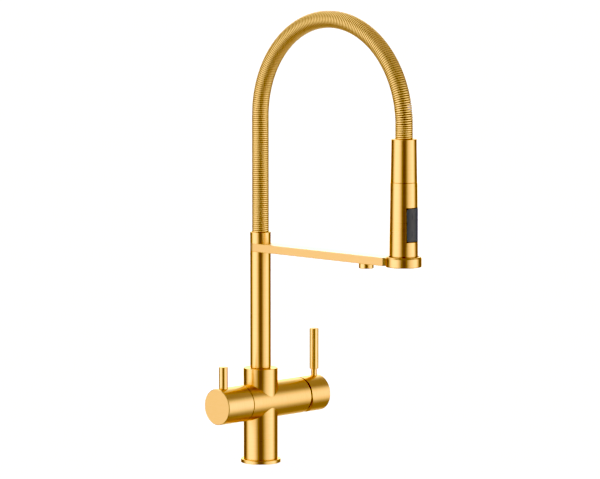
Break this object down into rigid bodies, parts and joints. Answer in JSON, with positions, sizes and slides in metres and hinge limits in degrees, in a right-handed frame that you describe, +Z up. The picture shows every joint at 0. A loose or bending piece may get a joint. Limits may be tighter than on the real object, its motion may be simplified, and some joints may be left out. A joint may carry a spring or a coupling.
{
  "type": "three way filtered water tap",
  "caption": "Tall kitchen tap with a sprung arch hose, a docking pull-out spray head, a mixer lever and a separate filtered water knob and outlet under the arm.",
  "frame": {"origin": "centre of the base flange's underside, on the riser axis", "axes": "+Z up along the riser, -Y along the arm towards the spray head, +X along the barrel towards the mixer lever"},
  "size_m": [0.1775, 0.2916, 0.5671],
  "materials": {
    "brushed_gold": "fine brushed gold plating",
    "plain_brass": "machined",
    "steel": "machined",
    "ceramic": "lapped",
    "light_plastic": "moulded",
    "dark_plastic": "satin moulded",
    "rubber": "matt",
    "spray_rubber": "matt",
    "hose": "smooth extruded"
  },
  "bodies": {
    "base": {"base_flange": "brushed_gold", "base_seal": "rubber", "valve_body": "brushed_gold", "swivel_bush": "light_plastic", "filter_headwork": "plain_brass", "headwork_o_ring": "rubber", "filter_fixed_disc": "ceramic", "cartridge_body": "light_plastic", "cartridge_seals": "rubber", "mixer_fixed_disc": "ceramic", "cartridge_nut": "plain_brass"},
    "filter_control": {"filter_moving_disc": "ceramic", "filter_spindle": "plain_brass", "filter_knob": "brushed_gold", "filter_pin": "brushed_gold", "filter_knob_screw": "steel", "filter_screw_plug": "brushed_gold"},
    "mixer_rotor": {"cartridge_rotor": "light_plastic", "stem_pivot_pin": "steel"},
    "mixer_disc": {"mixer_moving_disc": "ceramic"},
    "mixer_lever": {"mixer_stem": "steel", "lever_cap": "brushed_gold", "lever_handle": "brushed_gold", "lever_cap_screw": "steel", "lever_screw_plug": "brushed_gold"},
    "riser": {"swivel_stem": "plain_brass", "swivel_o_rings": "rubber", "riser_tube": "brushed_gold", "riser_coupling": "plain_brass", "arm": "brushed_gold", "dock_bracket": "brushed_gold", "dock_ring": "brushed_gold", "dock_liner": "dark_plastic", "filter_tube": "light_plastic", "nozzle_body": "brushed_gold", "nozzle_aerator": "light_plastic", "spring_collar": "brushed_gold", "coil_spring": "brushed_gold", "spray_hose": "hose"},
    "hose_end": {"hose_coupling": "plain_brass", "coupling_o_ring": "rubber"},
    "spray_head": {"head_upper_sleeve": "brushed_gold", "head_lower_shell": "brushed_gold", "head_core": "light_plastic", "check_valve": "light_plastic", "rocker_pin": "steel", "spray_distributor": "light_plastic", "spray_face": "spray_rubber", "spray_aerator": "light_plastic"},
    "rocker": {"rocker_button": "dark_plastic"},
    "diverter": {"diverter_spool": "light_plastic"}
  },
  "joints": [
    {"name": "riser_swivel", "type": "hinge", "parent": "base", "child": "riser", "pos_m": [0, 0, 0.1194], "axis": [0, 0, 1], "range_deg": [-180, 180]},
    {"name": "filter_knob_turn", "type": "hinge", "parent": "base", "child": "filter_control", "pos_m": [-0.05, 0, 0.077], "axis": [1, 0, 0], "range_deg": [0, 90]},
    {"name": "mixer_temperature", "type": "hinge", "parent": "base", "child": "mixer_rotor", "pos_m": [0.055, 0, 0.077], "axis": [1, 0, 0], "range_deg": [-45, 45]},
    {"name": "mixer_flow", "type": "hinge", "parent": "mixer_rotor", "child": "mixer_lever", "pos_m": [0.055, 0, 0.077], "axis": [0, 1, 0], "range_deg": [0, 17]},
    {"name": "mixer_disc_slide", "type": "slide", "parent": "mixer_rotor", "child": "mixer_disc", "axis": [0, 0, 1], "range_m": [0, 0.0036]},
    {"name": "head_lift", "type": "slide", "parent": "riser", "child": "hose_end", "axis": [0, 0, 1], "range_m": [0, 0.016]},
    {"name": "head_turn", "type": "hinge", "parent": "hose_end", "child": "spray_head", "pos_m": [0, -0.245, 0.369], "axis": [0, 0, 1], "range_deg": [-180, 180]},
    {"name": "rocker_tilt", "type": "hinge", "parent": "spray_head", "child": "rocker", "pos_m": [0, -0.2522, 0.31635], "axis": [1, 0, 0], "range_deg": [-3, 3]},
    {"name": "diverter_slide", "type": "slide", "parent": "spray_head", "child": "diverter", "axis": [0, 0, 1], "range_m": [-0.0003, 0.0003]}
  ],
  "couplings": [
    {"joint": "mixer_disc_slide", "follows": "mixer_flow", "m_per_rad": 0.012},
    {"joint": "diverter_slide", "follows": "rocker_tilt", "m_per_rad": 0.004}
  ]
}
